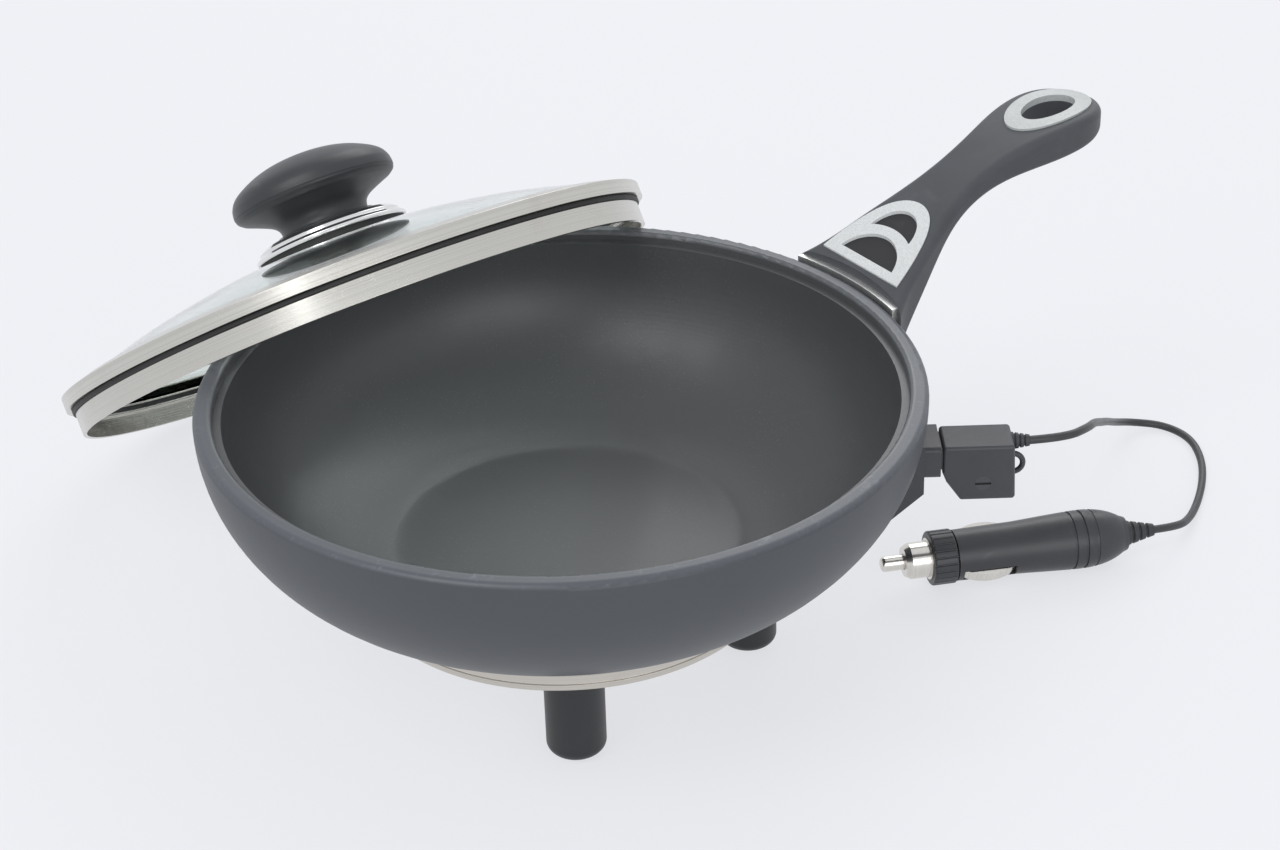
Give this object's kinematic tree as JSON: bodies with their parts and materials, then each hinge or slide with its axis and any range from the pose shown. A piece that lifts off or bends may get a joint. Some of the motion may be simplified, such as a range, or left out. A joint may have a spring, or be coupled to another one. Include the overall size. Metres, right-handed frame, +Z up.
{
  "type": "electric skillet",
  "caption": "Small low-voltage electric skillet on short feet with a long handle, a loose glass lid leaning on its rim, and a detachable cord with a car-socket plug.",
  "frame": {"origin": "bottom centre of the object's box on the floor, measured without the connector, cord and plug", "axes": "+Z up, +X from the pan's axis towards the power inlet, +Y away from the front foot"},
  "size_m": [0.3538, 0.2816, 0.122],
  "materials": {
    "nonstick": "satin dark non-stick coating on cast aluminium",
    "bare_aluminium": "turned bare aluminium",
    "base_plate": "matte black sheet",
    "element_metal": "dull heated metal",
    "insulation": "mineral fibre board",
    "terminal_brass": "bright stamped brass",
    "screw_steel": "zinc-plated steel",
    "black_plastic": "fine-grained moulded plastic",
    "foot_rubber": "matte rubber",
    "bracket_steel": "polished stamped steel",
    "soft_grip": "soft-touch charcoal",
    "silver_trim": "satin silver",
    "wire_insulation": "silicone sleeve",
    "lid_glass": "clear tempered glass, faint green edge",
    "lid_steel": "bright rolled stainless steel",
    "black_rubber": "matte silicone",
    "chrome_washer": "mirror chrome",
    "knob_plastic": "satin phenolic",
    "cord_jacket": "flexible cable jacket",
    "nickel": "nickel plate",
    "fuse_glass": "clear fuse tube with metal caps"
  },
  "bodies": {
    "base": {"skillet_body": "nonstick", "base_ring": "bare_aluminium", "base_cover": "base_plate", "heating_element": "element_metal", "insulation_pad": "insulation", "thermal_fuse": "terminal_brass", "base_screws": "screw_steel", "foot_front": "black_plastic", "foot_right": "black_plastic", "foot_rear": "black_plastic", "foot_pad_front": "foot_rubber", "foot_pad_right": "foot_rubber", "foot_pad_rear": "foot_rubber", "foot_screws": "screw_steel", "handle_bracket": "bracket_steel", "bracket_screws": "screw_steel", "handle_grip": "soft_grip", "handle_inlay": "silver_trim", "window_pad_lower": "soft_grip", "window_pad_upper": "soft_grip", "hang_ring": "silver_trim", "handle_screw": "screw_steel", "inlet_housing": "black_plastic", "inlet_pins": "terminal_brass", "lead_live": "wire_insulation", "lead_return": "wire_insulation"},
    "lid": {"lid_glass": "lid_glass", "lid_band": "lid_steel", "lid_seal": "black_rubber", "lid_lip": "lid_steel", "knob_gasket": "black_rubber", "knob_washer": "chrome_washer", "knob": "knob_plastic", "knob_inner_washer": "lid_steel", "knob_bolt": "screw_steel"},
    "lead": {"connector_shell_left": "black_plastic", "connector_shell_right": "black_plastic", "connector_screw": "screw_steel", "connector_sockets": "terminal_brass", "connector_loop": "black_plastic", "connector_boot": "black_rubber", "cord": "cord_jacket", "plug_boot": "black_rubber", "plug_shell_upper": "black_plastic", "plug_shell_lower": "black_plastic", "plug_nose": "nickel", "plug_fuse": "fuse_glass", "plug_tip_spring": "screw_steel", "plug_screw": "screw_steel"},
    "collar": {"plug_collar": "black_plastic"},
    "tip": {"plug_tip": "nickel"},
    "shoe_left": {"plug_contact_left": "nickel"},
    "shoe_right": {"plug_contact_right": "nickel"}
  },
  "joints": [
    {"name": "lid_lift", "type": "slide", "parent": "base", "child": "lid", "axis": [-0.3323, 0.4893, 0.8063], "range_m": [0, 0.08]},
    {"name": "connector_pull", "type": "slide", "parent": "base", "child": "lead", "axis": [1, 0, 0], "range_m": [0, 0.015]},
    {"name": "collar_turn", "type": "hinge", "parent": "lead", "child": "collar", "pos_m": [0.08714, -0.01748, 0.0089], "axis": [0.9848, 0.1736, 0], "continuous": true},
    {"name": "tip_press", "type": "slide", "parent": "lead", "child": "tip", "axis": [0.9848, 0.1736, 0], "range_m": [0, 0.003], "stiffness_N_per_m": 1500},
    {"name": "shoe_left_press", "type": "slide", "parent": "lead", "child": "shoe_left", "axis": [0.1504, -0.8529, -0.5], "range_m": [0, 0.0012], "stiffness_N_per_m": 1500},
    {"name": "shoe_right_press", "type": "slide", "parent": "lead", "child": "shoe_right", "axis": [-0.1504, 0.8529, 0.5], "range_m": [0, 0.0012], "stiffness_N_per_m": 1500}
  ]
}
